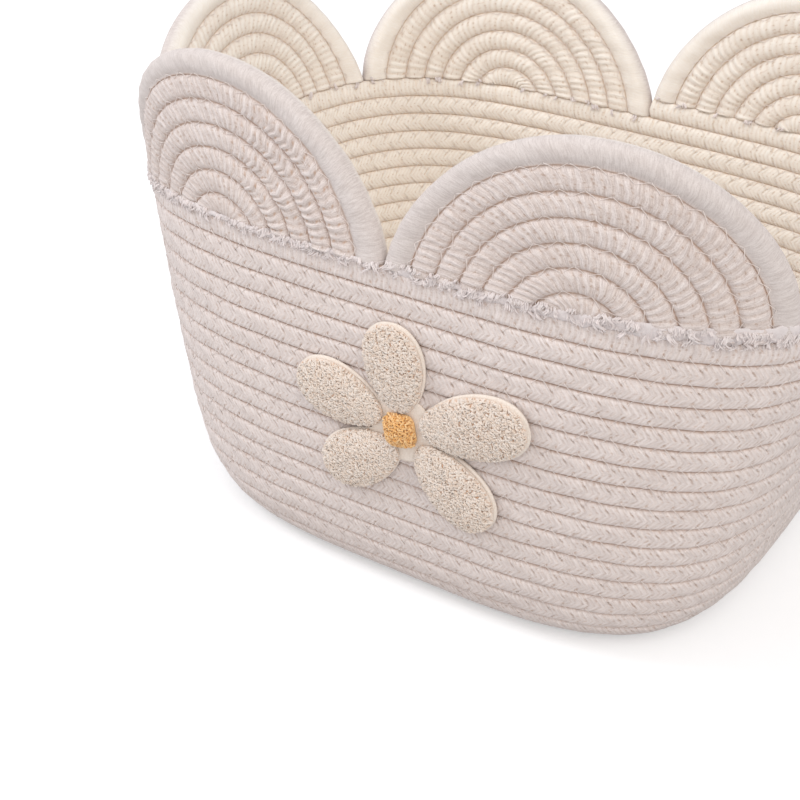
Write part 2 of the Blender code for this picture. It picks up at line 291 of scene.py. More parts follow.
# Colours of the rope. The valley and spot tints and the two groove colours are painted shade; the
# two inner colours are painted bounce light, brighter and warmer than the outer face.
BLOTCH_TINT = (0.90, 0.87, 0.85)
VALLEY_SHADE_TINT = (0.84, 0.77, 0.71)
SPECK_SHADE_TINT = (0.66, 0.52, 0.42)
BOUNCE_LIT_INNER_PALE = (0.97, 0.925, 0.865)
BOUNCE_LIT_INNER_DARK = (0.93, 0.865, 0.78)
OUTER_GROOVE_SHADE = (0.52, 0.34, 0.24)
INNER_GROOVE_SHADE = (0.82, 0.67, 0.52)
# material: light and dark of its outer face, fibre scales, painted shade in the valleys, contrast,
# painted shade in spots in the valleys
ROPE_FINISHES = {
    "cotton_rope":
        ((0.838, 0.760, 0.732), (0.65, 0.57, 0.54), (1500.0, 330.0, 330.0), 0.45, 0.12, 0.6),
    "cotton_rope_scallop":
        ((0.845, 0.768, 0.738), (0.58, 0.495, 0.462), (1600.0, 260.0, 260.0), 0.6, 0.12, 0.7),
    "scallop_rim_rope":
        ((0.735, 0.667, 0.638), (0.59, 0.52, 0.49), (1900.0, 260.0, 260.0), 0.0, 0.10, 0.0),
}
# material: light, dark, scale of its grain, strength of its bumps, share of light let through
CLOTH_FINISHES = {
    "loose_cotton": ((0.98, 0.915, 0.895), (0.93, 0.86, 0.845), 900.0, 0.2, 0.3),
    "felted_lint": ((0.88, 0.81, 0.80), (0.81, 0.74, 0.73), 900.0, 0.4, 0.2),
    "sewing_thread": ((0.90, 0.82, 0.78), (0.82, 0.73, 0.68), 900.0, 0.2, 0.0),
    "flower_backing_cloth": ((0.88, 0.79, 0.71), (0.76, 0.66, 0.57), 1400.0, 0.5, 0.0),
}
# material: light, dark, and the painted shade of the pile's recesses
PILE_FINISHES = {
    "cream_loop_pile": ((0.82, 0.745, 0.68), (0.74, 0.605, 0.50), (0.82, 0.53, 0.35)),
    "yellow_loop_pile": ((0.90, 0.63, 0.33), (0.78, 0.40, 0.12), (0.62, 0.27, 0.05)),
}

# Camera, as the traced grooves of the photograph gave it
CAMERA_PLACE = (0.28540, -0.55574, 0.39291)
CAMERA_YAW, CAMERA_PITCH, CAMERA_ROLL = 0.5657, -0.5148, 0.0325
CAMERA_LENS = 67.273
SENSOR_WIDTH = 36.0

# Studio: floor, world and lamps as name, place, size, power, colour
FLOOR_HALF = 4.0
FLOOR_DROP = 0.0002
FLOOR_COLOUR = (0.66, 0.66, 0.66)
FLOOR_COLOUR_SHOWN = (0.66, 0.66, 0.665)
FLOOR_GLOW = 0.40
WORLD_COLOUR = (0.98, 0.98, 1.0)
WORLD_STRENGTH = 0.79
WHITE = (1.0, 1.0, 1.0)
LAMPS = (
    ("key", (-1.7, -0.9, 1.7), 0.9, 22.0, (0.92, 0.95, 1.0)),
    ("fill", (1.5, -1.4, 2.2), 2.4, 34.0, (1.0, 0.965, 0.91)),
)


def wall_profile(lean_at_foot, lean_at_rim):
    """Distance out and up of the wall for runs from 0 to PROFILE_RUN, with a rounded foot."""
    runs = np.linspace(0.0, PROFILE_RUN, PROFILE_STEPS)
    lean = lean_at_foot + (lean_at_rim - lean_at_foot) * np.minimum(runs / RIM_RUN, 1.0)
    slope = (pi / 2 - lean) * (1 - np.exp(-runs / FOOT_ROUNDING))
    middle = (slope[1:] + slope[:-1]) / 2
    step = runs[1] - runs[0]
    out = np.concatenate(([0.0], np.cumsum(np.cos(middle) * step)))
    up = np.concatenate(([0.0], np.cumsum(np.sin(middle) * step)))
    return runs, out, up


SIDE_PROFILE = wall_profile(*SIDE_LEANS)
END_PROFILE = wall_profile(*END_LEANS)


def out_and_up(profile, run):
    """Read a wall profile. On the flat floor the distance out is the run itself."""
    out = np.where(run < 0, run, np.interp(run, profile[0], profile[1]))
    return out, np.interp(run, profile[0], profile[2])


def signed_power(value, power):
    return np.sign(value) * np.abs(value) ** power


def endness(angle):
    """How much a place belongs to the end walls, from 0 on the long sides to 1 on the ends."""
    power = 2 * (SQUARENESS - 1) / SQUARENESS
    across = np.abs(np.cos(angle)) ** power / HALF_WIDTH
    along = np.abs(np.sin(angle)) ** power / HALF_DEPTH
    return across ** 2 / (across ** 2 + along ** 2)


def surface(angle, run):
    """The middle of the cloth's thickness at turn angles and runs."""
    side_out, side_up = out_and_up(SIDE_PROFILE, run)
    end_out, end_up = out_and_up(END_PROFILE, run)
    power = 2 / SQUARENESS
    x = signed_power(np.cos(angle), power) * (HALF_WIDTH + end_out)
    y = signed_power(np.sin(angle), power) * (HALF_DEPTH + side_out) + COIL_MIDDLE_Y
    z = HALF_ROPE + side_up + (end_up - side_up) * endness(angle)
    rise = np.maximum((run / RIM_RUN - FLARE_START_SHARE) / (1 - FLARE_START_SHARE), 0.0)
    flare = np.where(x < 0, -LEFT_END_FLARE, RIGHT_END_FLARE)
    x = x + flare * endness(angle) * np.tanh(rise ** 2 / FLARE_SHARE)
    return np.stack(np.broadcast_arrays(x, y, z), -1)


def unit(vectors):
    return vectors / np.maximum(np.linalg.norm(vectors, axis=-1, keepdims=True), 1e-12)


def surface_normal(angle, run):
    """The outward direction of the cloth, down under the floor."""
    turn = surface(angle + ANGLE_STEP, run) - surface(angle - ANGLE_STEP, run)
    rise = surface(angle, run + RUN_STEP) - surface(angle, run - RUN_STEP)
    return unit(np.cross(turn, rise))


def off_surface(angle, run, out):
    """Places at a distance out of the middle of the cloth."""
    return surface(angle, run) + surface_normal(angle, run) * out


def line_lengths(points):
    """Length along a line of points, from its first point to each."""
    legs = np.linalg.norm(np.diff(points, axis=0), axis=1)
    return np.concatenate(([0.0], np.cumsum(legs)))


def eased_angle(turn):
    """Turn angle for a count of turns, made to go slowly where the sides are flat."""
    quarter = np.floor(4 * turn)
    share = 4 * turn - quarter
    return (quarter + share * share * (3 - 2 * share)) * pi / 2


def coil_place(turn):
    """Turn angle and run of the body rope after a count of turns."""
    return eased_angle(turn), (turn - PARTING_TURN) * ROPE_PITCH


class Coil:
    """Lengths along the body rope, from the first turn of the coil to its end."""

    def __init__(self):
        self.turns = np.arange(0.0, LAST_TURN + TABLE_SPARE_TURNS, 1 / TABLE_STEPS_PER_TURN)
        self.lengths = line_lengths(surface(*coil_place(self.turns)))

    def length(self, turn):
        return np.interp(turn, self.turns, self.lengths)

    def turn(self, length):
        return np.interp(length, self.lengths, self.turns)


COIL = Coil()
STRAND_DRAW = np.random.default_rng(STRAND_SEED)
STRANDS = int(COIL.lengths[-1] / RING_STEP / RINGS_PER_STRAND) + 2
STRAND_HEIGHTS = STRAND_DRAW.uniform(*STRAND_HEIGHT_RANGE, STRANDS)
STRAND_JITTERS = STRAND_DRAW.normal(0.0, STRAND_JITTER, STRANDS)


class Rim:
    """Lengths along the rim from the back middle, going on past it on both sides."""

    def __init__(self):
        end_turn = BACK_TURN + 1
        turns = np.arange(BACK_TURN - RIM_SPARE_TURNS, end_turn + RIM_SPARE_TURNS,
                          1 / TABLE_STEPS_PER_TURN)
        self.angles = eased_angle(turns)
        lengths = line_lengths(surface(self.angles, RIM_RUN - SCALLOP_SINK))
        self.lengths = lengths - np.interp(BACK_TURN, turns, lengths)
        self.once_round = float(np.interp(end_turn, turns, self.lengths))

    def angle_and_run(self, scallop, along, above):
        """Turn angle and run of a place along and above the middle of a scallop's rings."""
        along = (scallop + 0.5) / SCALLOPS * self.once_round + along
        angle = np.interp(along, self.lengths, self.angles)
        climb = (along / self.once_round - 1) * ROPE_PITCH
        return angle, RIM_RUN + climb + HALF_PITCH + above - SCALLOP_SINK


RIM = Rim()


def uneven(angle, run):
    """Small bumps and hollows of the cloth, the same for neighbouring ropes, none on the floor."""
    waves = sum(np.sin(round_it * angle + along_it * run + phase)
                for round_it, along_it, phase in UNEVEN_WAVES)
    return UNEVENNESS * waves * np.clip(run / FOOT_ROUNDING - UNEVEN_START_SHARE, 0.0, 1.0)


def section(half_thickness, power, free_edge=False):
    """Points round a rope's section: across it, out of it, and how far round from its middle line.

    They start at the outer middle and go towards higher runs first. The way round is 0 at both
    middles and 1 at both grooves. Sides that touch the next rope are flat, a free edge is round.
    """
    beyond = INNER_SHARES[:-1] if free_edge else INNER_SHARES
    points = [(share, 1) for share in OUTER_SHARES]
    points += [(share, -1) for share in beyond[::-1]]
    points += [(-share, -1) for share in INNER_SHARES[1:]]
    points += [(-share, 1) for share in OUTER_SHARES[::-1][:-1]]
    across = np.array([share for share, side in points])
    side = np.array([side for share, side in points])
    flat = np.where(free_edge & (across > 0), 0.0, SIDE_FLAT_SHARE)
    out = side * half_thickness * np.maximum((1 - np.abs(across) ** power) ** (1 / power), flat)
    return across, out, np.abs(across)


def new_mesh(name, points, *face_groups):
    """A mesh of points and of faces in groups, each an array with a row of point numbers a face."""
    mesh = bpy.data.meshes.new(name)
    mesh.vertices.add(len(points))
    mesh.vertices.foreach_set("co", np.ascontiguousarray(points, dtype=np.float32).ravel())
    corners = np.concatenate([group.ravel() for group in face_groups])
    sizes = np.concatenate([np.full(len(group), group.shape[1]) for group in face_groups])
    starts = np.concatenate(([0], np.cumsum(sizes)[:-1]))
    mesh.loops.add(len(corners))
    mesh.loops.foreach_set("vertex_index", corners.astype(np.int32))
    mesh.polygons.add(len(sizes))
    mesh.polygons.foreach_set("loop_start", starts.astype(np.int32))
    mesh.update(calc_edges=True)
    mesh.shade_smooth()
    return mesh


def add_attribute(mesh, name, kind, field, values):
    attribute = mesh.attributes.new(name, kind, "POINT")
    attribute.data.foreach_set(field, np.ascontiguousarray(values, dtype=np.float32).ravel())


def add_object(name, data):
    thing = bpy.data.objects.new(name, data)
    bpy.context.scene.collection.objects.link(thing)
    return thing


def finish_piece(name, mesh, material, nodes=()):
    """Put a piece on the basket's one body, with its finish and the solids that it stands for."""
    mesh.materials.append(material)
    piece = add_object(name, mesh)
    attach(piece, "root")
    if nodes:
        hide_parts(*nodes)
    return piece


def ring_quads(number):
    """Faces between neighbouring rings of point numbers. The last two axes are rings by columns."""
    beside = np.roll(number, -1, axis=-1)
    corners = number[..., :-1, :], beside[..., :-1, :], beside[..., 1:, :], number[..., 1:, :]
    return np.stack(corners, -1).reshape(-1, 4)


def circle(points):
    return np.arange(points) * 2 * pi / points


def plain_tube_mesh(name, grid):
    """A closed tube from a grid of points, rings by columns, that faces outward."""
    grid = grid[::-1]
    rings, columns = grid.shape[:2]
    number = np.arange(rings * columns).reshape(rings, columns)
    caps = np.stack([number[0, ::-1], number[-1]])
    return new_mesh(name, grid.reshape(-1, 3), ring_quads(number), caps)


def rope_mesh(name, grid, along, reach, out, groove, hole, height):
    """A closed rope with its two texture attributes.

    weave holds the place along, across and out of the rope, tone holds the share of painted
    groove shade, the needle holes, the share of the inner face's painted bounce light and height.
    """
    weave = np.stack(np.broadcast_arrays(along[:, None], reach, out), -1)
    tone = np.stack(np.broadcast_arrays(groove, hole, inner_bounce_light_share(out), height), -1)
    mesh = plain_tube_mesh(name, grid)
    add_attribute(mesh, "weave", "FLOAT_VECTOR", "vector", weave[::-1])
    add_attribute(mesh, "tone", "FLOAT_COLOR", "color", tone[::-1])
    return mesh


def groove_shade_share(across):
    """How much painted shade of the groove a place across the rope has."""
    return np.interp(np.abs(across), GROOVE_SHADE_PLACES, GROOVE_SHADE_SHARES)


def inner_bounce_light_share(out):
    """How much of the inner face's painted bounce light, a brighter and warmer colour, a place on a
    rope has.
    """
    return np.clip(-INSIDE_OFFSET - INSIDE_SLOPE * out / HALF_ROPE, 0.0, 1.0)


def at_hole(across):
    """Which places across the rope lie on a row of needle holes."""
    return np.abs(np.abs(across) - HOLE_SHARE) < HOLE_NEARNESS


def cloth_grid(angle, run, across, out):
    """Points that lie across and out of the cloth, with its unevenness."""
    run = run + across * HALF_PITCH
    grid = off_surface(angle, run, (out + uneven(angle, run))[..., None])
    grid[..., 2] = np.maximum(grid[..., 2], 0.0)
    return grid


def strand_height(number):
    """How high each ring of points stands on its strand."""
    return np.array(STRAND_HEIGHT_SHARES)[number % RINGS_PER_STRAND][:, None]


def body_rope(name, first_turn, last_turn, material, nodes):
    """A stretch of the body rope, its points sheared so that they follow the braid's strands."""
    across, out, around = section(HALF_ROPE, SECTION_POWER)
    first = int(np.ceil(COIL.length(first_turn) / RING_STEP))
    last = int(np.ceil(COIL.length(last_turn) / RING_STEP))
    number = np.arange(first, last + 1)
    slant_share = np.interp(COIL.turn(number * RING_STEP), LAST_SLANT_TURNS, LAST_SLANT_SHARES)
    jitter = np.interp(number / RINGS_PER_STRAND, np.arange(STRANDS), STRAND_JITTERS)
    slant = STRAND_SLANT * slant_share - jitter
    length = number[:, None] * RING_STEP - slant[:, None] * around
    angle, run = coil_place(COIL.turn(length))
    height = strand_height(number)
    own = STRAND_HEIGHTS[number // RINGS_PER_STRAND][:, None]
    relief = STRAND_RELIEF * height * own * (1 - around ** STRAND_RELIEF_POWER)
    hole = stitch_holes(length, across)
    lift = np.abs(out) + relief - HOLE_DEPTH * hole
    grid = cloth_grid(angle, run, across, np.sign(out) * lift)
    mesh = rope_mesh(name, grid, number * RING_STEP, across * HALF_PITCH, out,
                     groove_shade_share(across), hole, height)
    finish_piece(name, mesh, material, nodes)


def stitch_holes(length, across):
    """Which points are needle holes: one a stitch in each of the two rows on both faces."""
    hole = np.zeros(length.shape)
    for column in np.where(at_hole(across))[0]:
        if across[column] > 0:
            places = length[:, column]
        else:
            places = COIL.length(COIL.turn(length[:, column]) - 1) - STITCH / 2
        stitch = np.floor(places / STITCH)
        hole[1:, column] = stitch[1:] != stitch[:-1]
    return hole


def strand_mesh(name, paths, radii, sides=3):
    """Many thin tubes at once: paths are strands by points, radii one number a point."""
    strands, points = paths.shape[:2]
    way = unit(np.gradient(paths, axis=1))
    helper = unit(np.cross(way, np.array([0.31, 0.17, 0.93])))
    other = np.cross(way, helper)
    turn = circle(sides)[:, None]
    radii = np.broadcast_to(radii, (strands, points))
    ring = helper[:, :, None] * np.cos(turn) + other[:, :, None] * np.sin(turn)
    grid = paths[:, :, None] + ring * radii[:, :, None, None]
    number = np.arange(strands * points * sides).reshape(strands, points, sides)
    caps = np.concatenate([number[:, 0, ::-1], number[:, -1]])
    return new_mesh(name, grid.reshape(-1, 3), ring_quads(number), caps)


def stitch_paths(lower, upper, rest):
    """Thread from one rope to the next and back: it leaves a hole, spans the groove and goes down.

    lower and upper give the turn angle and run at the two ends of each crossing, rest is the
    height of the ropes there, below zero on the inner face.
    """
    share = np.array(THREAD_SHARES)
    depth = np.array([-THREAD_SINK, THREAD_REST, -THREAD_DIP, THREAD_REST, -THREAD_SINK])
    start = off_surface(*lower, rest)
    end = off_surface(*upper, rest)
    normal = surface_normal((lower[0] + upper[0]) / 2, (lower[1] + upper[1]) / 2) * np.sign(rest)
    paths = start[:, None] + (end - start)[:, None] * share[:, None]
    return paths + normal[:, None] * depth[:, None]


def rope_height(across, power=SECTION_POWER):
    """Height of a rope's face over its middle at a share of its half width."""
    return HALF_ROPE * (1 - abs(across) ** power) ** (1 / power)


def body_stitches(name, first_turn, last_turn, side, material):
    """The zigzag thread over the grooves of the body, on the outer (+1) or inner (-1) face."""
    first = int(np.ceil(COIL.length(first_turn) / STITCH * 2))
    last = int(np.floor(COIL.length(last_turn) / STITCH * 2))
    half = np.arange(first, last)
    angle, run = coil_place(COIL.turn((half + half % 2) * STITCH / 2))
    low = angle, run + HOLE_SHARE * HALF_PITCH
    angle, run = coil_place(COIL.turn((half + 1 - half % 2) * STITCH / 2))
    high = angle, run + ROPE_PITCH - HOLE_SHARE * HALF_PITCH
    rest = side * rope_height(HOLE_SHARE)
    if side > 0 and last_turn < PARTING_TURN:
        rest = HALF_ROPE - THREAD_RADIUS - THREAD_REST
    paths = stitch_paths(low, high, rest)
    paths[..., 2] = np.maximum(paths[..., 2], THREAD_RADIUS)
    finish_piece(name, strand_mesh(name, paths, THREAD_RADIUS), material)


def ring_radius(ring):
    return (ring + 0.5) * ROPE_PITCH


def cut_angle(radius):
    """Angle at which a half ring meets the straight cut at its foot."""
    return np.arcsin(np.minimum((SCALLOP_SINK + CUT_GAP) / radius, 1.0))


def flared(along, above):
    """Moves the feet of the outer half rings apart, as the scallops' feet meet in the notches."""
    radius = np.hypot(along, above)
    share = np.clip(radius / ((SCALLOP_ROPES + 0.5) * ROPE_PITCH), 0.0, FOOT_FLARE_LIMIT)
    level = np.abs(along) / np.maximum(radius, 1e-9)
    move = np.sign(along) * FOOT_FLARE * share ** FOOT_FLARE_POWER * level ** FOOT_FLARE_POWER
    return along + move


def scallop_rope(scallop, ring, material):
    """One half ring of a scallop, cut straight across at its foot."""
    random = np.random.default_rng(SCALLOP_SEED + 10 * scallop + ring)
    outermost = ring == SCALLOP_ROPES
    half_thickness = RIM_HALF_THICKNESS if outermost else HALF_ROPE
    power = RIM_POWER if outermost else PUFF_POWER
    across, out, around = section(half_thickness, power, outermost)
    reach = across * HALF_PITCH
    radius = ring_radius(ring) + reach
    rings = int(pi * ring_radius(ring) / PUFF_STEP)
    number = np.arange(rings + 1)
    share = number[:, None] / rings
    puffs = rings // RINGS_PER_PUFF + 2
    knitted = scallop == KNIT_SCALLOP and KNIT_FIRST_RING <= ring < SCALLOP_ROPES
    knit = np.interp(pi * share, KNIT_ANGLES, (0.0, 1.0)) if knitted else 0.0
    tilt = np.interp(number / RINGS_PER_PUFF, np.arange(puffs),
                     random.normal(0.0, PUFF_TILT, puffs))[:, None]
    slant = PUFF_SLANT + (KNIT_SLANT - PUFF_SLANT) * knit
    swing = slant * around + (PUFF_LEAN * (1 - knit) + tilt) * across
    foot = cut_angle(np.maximum(radius, ring_radius(1)))
    bell = np.minimum(LEAN_FROM_ENDS * share * (1 - share), 1.0)
    angle = foot + (pi - 2 * foot) * share - swing / ring_radius(ring) * bell
    beat = np.array(PUFF_HEIGHT_SHARES)[number % RINGS_PER_PUFF][:, None]
    own = random.uniform(*PUFF_HEIGHT_RANGE, puffs)[number // RINGS_PER_PUFF][:, None]
    strength = PUFF_LEAST_STRENGTH + (1 - PUFF_LEAST_STRENGTH) * np.abs(np.cos(angle))
    strength = strength + KNIT_STRENGTH * knit
    relief = PUFF_RELIEF * beat * own * strength * (1 - around ** PUFF_RELIEF_POWER)
    lift = np.sign(out) * (np.abs(out) + (0.0 if outermost else relief))
    along = flared(-radius * np.cos(angle), radius * np.sin(angle))
    above = np.maximum(radius * np.sin(angle), SCALLOP_SINK + CUT_GAP)
    turn_angle, run = RIM.angle_and_run(scallop, along, above)
    grid = cloth_grid(turn_angle, run, np.zeros_like(across), lift)
    # Painted shade in the knit's holes: colour only, with no dip in the rope
    hole = KNIT_HOLE_SHADE * knit * (number % KNIT_HOLE_RINGS == 0)[:, None] * at_hole(across)
    # Painted shade in the grooves, none on the rim rope's free outer edge
    groove = groove_shade_share(np.minimum(across, 0.0) if outermost else across)
    node = f"scallop_{scallop + 1}_" + ("rim_rope" if outermost else f"arc_{ring}")
    mesh = rope_mesh(f"{node}_looks", grid, number * PUFF_STEP, reach, out,
                     groove, hole, beat * (0.5 + 0.5 * own))
    finish_piece(f"{node}_looks", mesh, material, [node])


def scallop_stitches(scallop, material):
    """Zigzag thread over the grooves between a scallop's ropes, on both faces."""
    paths = []
    for ring in range(1, SCALLOP_ROPES):
        radius = (ring + 1) * ROPE_PITCH
        foot = float(cut_angle(radius))
        halves = int((pi - 2 * foot) * radius / (STITCH / 2))
        angle = foot + (pi - 2 * foot) * (np.arange(halves + 1)) / halves
        number = np.arange(halves)
        ends = []
        for side, nearest in ((-1, number + number % 2), (1, number + 1 - number % 2)):
            size = radius + side * (1 - SCALLOP_HOLE_SHARE) * HALF_PITCH
            at = angle[nearest]
            above = size * np.sin(at)
            along = flared(-size * np.cos(at), above)
            ends.append(RIM.angle_and_run(scallop, along, above))
        for side in (1, -1):
            paths.append(stitch_paths(*ends, side * rope_height(SCALLOP_HOLE_SHARE, PUFF_POWER)))
    name = f"scallop_{scallop + 1}_stitches"
    finish_piece(name, strand_mesh(name, np.concatenate(paths), THREAD_RADIUS), material)


def fray_paths(random, at, length, raised, which):
    """Loose ends that start on the cut ends and hang down over the top wall rope.

    which gives the clump of each end.
    """
    clumps = which[-1] + 1
    steps = np.linspace(0.0, 1.0, FRAY_POINTS)

    def shared(spread, own_spread):
        value = random.normal(0.0, spread, clumps)[which] + random.normal(0.0, own_spread, len(at))
        return value[:, None]

    lean = shared(*FRAY_LEAN)
    curl = shared(*FRAY_CURL)
    length = length[:, None]
    along = at[:, None] + length * (lean * steps + curl * np.sin(FRAY_CURL_WAVE * steps))
    drop = length * (steps - FRAY_SAG * steps ** 2)
    above = SCALLOP_SINK + raised[:, None] - drop
    face = np.where(random.random(clumps) < FRAY_OUTSIDE_SHARE, 1.0, -1.0)[which][:, None]
    start = random.uniform(*FRAY_STARTS_OUT, len(at))[:, None]
    end = random.uniform(*FRAY_ENDS_OUT, len(at))[:, None] + np.abs(shared(*FRAY_LIFT))
    out = start + (end - start) * np.sqrt(steps)
    return np.stack([along, above, out * face], -1)


def lint_bed(scallop, reach, material):
    """A low, lumpy band of felted lint over the cut ends of a scallop, on its outer face."""
    random = np.random.default_rng(BED_SEED + scallop)
    rings = int(2 * reach / BED_STEP)
    along = np.linspace(-reach, reach, rings)
    above_cut, half_height = TALL_BED if scallop == TALL_FRAY_SCALLOP else LOW_BED

    def lumps(spread):
        knots = np.arange(rings // BED_RINGS_PER_LUMP + 2)
        heights = random.normal(0.0, spread, len(knots))
        return np.interp(np.arange(rings) / BED_RINGS_PER_LUMP, knots, heights)

    close = np.clip((reach - np.abs(along)) / BED_FADE, BED_LEAST_SHARE, 1.0)
    turn = circle(BED_COLUMNS)
    height = np.interp(along, BED_PLACES, half_height) * (1 + lumps(HEIGHT_LUMPS)) * close
    middle_line = SCALLOP_SINK + np.interp(along, BED_PLACES, above_cut) + lumps(MIDDLE_LUMPS)
    above = middle_line[:, None] + height[:, None] * np.sin(turn)
    thickness = BED_THICKNESS * close * (1 + lumps(THICKNESS_LUMPS))
    out = HALF_ROPE - BED_SINK + thickness[:, None] * np.cos(turn)
    above = above + random.normal(0.0, BED_ROUGHNESS, above.shape)
    out = out + random.normal(0.0, BED_ROUGHNESS, out.shape)
    angle, run = RIM.angle_and_run(scallop, along[:, None], above)
    name = f"scallop_{scallop + 1}_lint_bed"
    mesh = plain_tube_mesh(name, off_surface(angle, run, out[..., None]))
    finish_piece(name, mesh, material)


def scallop_fray(scallop, material, felted):
    """Yarn ends, loose fibres and lint along the straight cut of a scallop."""
    random = np.random.default_rng(FRAY_SEED + scallop)
    radii = [ring_radius(ring) for ring in range(1, SCALLOP_ROPES + 1)]
    ends = np.array([side * radius for radius in radii for side in (-1, 1)])
    feet = np.sign(ends) * np.sqrt(ends ** 2 - SCALLOP_SINK ** 2)
    ends = flared(feet, np.full(len(ends), SCALLOP_SINK))
    reach = abs(ends).max() + HALF_PITCH
    highest = TALL_FRAY if scallop == TALL_FRAY_SCALLOP else LOW_FRAY
    lint_bed(scallop, reach - BED_END_GAP, felted)
    for word, at_ends, count, clump, radius, shortest, longest, taper, sides in FRAY_KINDS:
        if at_ends:
            spread = random.uniform(-FRAY_END_SHARE, FRAY_END_SHARE, count)
            at = np.repeat(ends, count) + np.tile(spread, len(ends)) * HALF_PITCH
        else:
            at = random.uniform(-reach, reach, count)
        which = np.arange(len(at)) // clump
        clumps = which[-1] + 1
        at = at[::clump][which] + random.normal(0.0, FRAY_SCATTER, len(at))
        length = random.uniform(shortest, longest, clumps)[which]
        length = length * random.uniform(*FRAY_LENGTH_RANGE, len(at))
        raised = random.uniform(0.0, 1.0, clumps)[which] * np.interp(at, FRAY_PLACES, highest)
        paths = fray_paths(random, at, length, raised, which)
        angle, run = RIM.angle_and_run(scallop, paths[..., 0], paths[..., 1])
        points = off_surface(angle, run, paths[..., 2:3])
        name = f"scallop_{scallop + 1}_{word}"
        finish_piece(name, strand_mesh(name, points, radius * np.array(taper), sides), material)


def add_node(tree, kind, inputs=None, **settings):
    """A new node. Its inputs are numbers, colours, vectors or what other nodes put out."""
    node = tree.nodes.new(kind)
    for key, value in settings.items():
        setattr(node, key, value)
    feed_node(tree, node, inputs or {})
    return node


def feed_node(tree, node, inputs):
    for key, value in inputs.items():
        socket = node.inputs[key]
        if isinstance(value, bpy.types.NodeSocket):
            tree.links.new(value, socket)
        else:
            is_colour = isinstance(value, tuple) and socket.type == "RGBA"
            socket.default_value = (*value, 1.0) if is_colour else value


class Finish:
    """A new matt material, with short ways to add nodes and mixes to it."""

    def __init__(self, name, sheen=0.15):
        self.material = bpy.data.materials.new(name)
        self.material.use_nodes = True
        self.tree = self.material.node_tree
        self.shader = self.tree.nodes["Principled BSDF"]
        feed_node(self.tree, self.shader, {"Roughness": 0.95, "Specular IOR Level": 0.15,
                                           "Sheen Weight": sheen, "Sheen Roughness": 0.6})

    def add(self, kind, inputs=None, **settings):
        return add_node(self.tree, kind, inputs, **settings)

    def attribute(self, name):
        return self.add("ShaderNodeAttribute", attribute_name=name, attribute_type="GEOMETRY")

    def tone(self):
        """The three channels and the alpha of the attribute tone."""
        tone = self.attribute("tone")
        split = self.add("ShaderNodeSeparateColor", {0: tone.outputs["Color"]})
        return *split.outputs, tone.outputs["Alpha"]

    def math(self, operation, first, second):
        return self.add("ShaderNodeMath", {0: first, 1: second}, operation=operation).outputs[0]

    def mix(self, factor, first, second, blend="MIX"):
        return self.add("ShaderNodeMix", {0: factor, 6: first, 7: second},
                        data_type="RGBA", blend_type=blend).outputs[2]

    def shade(self, share, colour, tint):
        """A colour, multiplied by a tint as far as the share says."""
        return self.mix(share, colour, self.mix(1.0, colour, tint, "MULTIPLY"))

    def noise(self, vector, scale, detail, roughness):
        return self.add("ShaderNodeTexNoise", {"Vector": vector, "Scale": scale, "Detail": detail,
                                               "Roughness": roughness}).outputs["Fac"]

    def stretched_noise(self, vector, scales, detail, roughness):
        stretched = self.add("ShaderNodeVectorMath", {0: vector, 1: scales}, operation="MULTIPLY")
        return self.noise(stretched.outputs[0], 1.0, detail, roughness)

    def ramp(self, value, low, high):
        return self.add("ShaderNodeMapRange", {"Value": value, "From Min": low, "From Max": high},
                        clamp=True).outputs["Result"]

    def dress(self, colour, height, strength, distance):
        """Give the shader its colour and its bumps."""
        bump = self.add("ShaderNodeBump", {"Strength": strength, "Distance": distance,
                                           "Height": height})
        feed_node(self.tree, self.shader, {"Base Color": colour, "Normal": bump.outputs["Normal"]})


def rope_material(name):
    """Braided cotton: fine fibres along the strands, with painted shade in soft valleys, in spots
    there and, warm brown, in the grooves and holes, and painted bounce light on the inner face.
    """
    light, dark, fibre_scales, valley_shade, contrast, speck_shade_strength = ROPE_FINISHES[name]
    h = Finish(name)
    weave = h.attribute("weave").outputs["Vector"]
    groove, hole, inside, height = h.tone()
    fibre = h.stretched_noise(weave, fibre_scales, 3.0, 0.6)
    grain = h.stretched_noise(weave, *GRAIN_NOISE)
    texture = h.math("ADD", h.math("MULTIPLY", fibre, 0.6), h.math("MULTIPLY", grain, 0.4))
    fine = h.ramp(texture, 0.5 - contrast, 0.5 + contrast)
    # The inner face has painted bounce light: a brighter, warmer copy of the fibre colour
    colour = h.mix(inside, h.mix(fine, dark, light), h.mix(fine, BOUNCE_LIT_INNER_DARK, BOUNCE_LIT_INNER_PALE))
    blotch = h.ramp(h.stretched_noise(weave, *BLOTCH_NOISE), 0.35, 0.75)
    colour = h.shade(h.math("MULTIPLY", blotch, 0.3), colour, BLOTCH_TINT)
    low = h.math("SUBTRACT", 1.0, height)
    # Painted shade in the valleys between the strands
    colour = h.shade(h.math("MULTIPLY", low, valley_shade), colour, VALLEY_SHADE_TINT)
    # Painted shade in small spots in the valleys
    speck_shade = h.math("MULTIPLY", h.ramp(h.stretched_noise(weave, *SPECK_NOISE), 0.56, 0.66), low)
    colour = h.shade(h.math("MULTIPLY", speck_shade, speck_shade_strength), colour, SPECK_SHADE_TINT)
    # Painted shade in the grooves and the needle holes: warm brown, lighter on the inner face,
    # broken up in patches
    brown = h.mix(inside, OUTER_GROOVE_SHADE, INNER_GROOVE_SHADE)
    patch = h.ramp(h.stretched_noise(weave, *PATCH_NOISE), 0.38, 0.55)
    patch = h.math("ADD", h.math("MULTIPLY", patch, 0.5), 0.5)
    colour = h.mix(h.math("MULTIPLY", groove, patch), colour, brown)
    # Painted shade in the needle holes
    colour = h.mix(h.math("MULTIPLY", hole, 0.7), colour, brown)
    h.dress(colour, texture, 0.9, 0.0005)
    return h.material


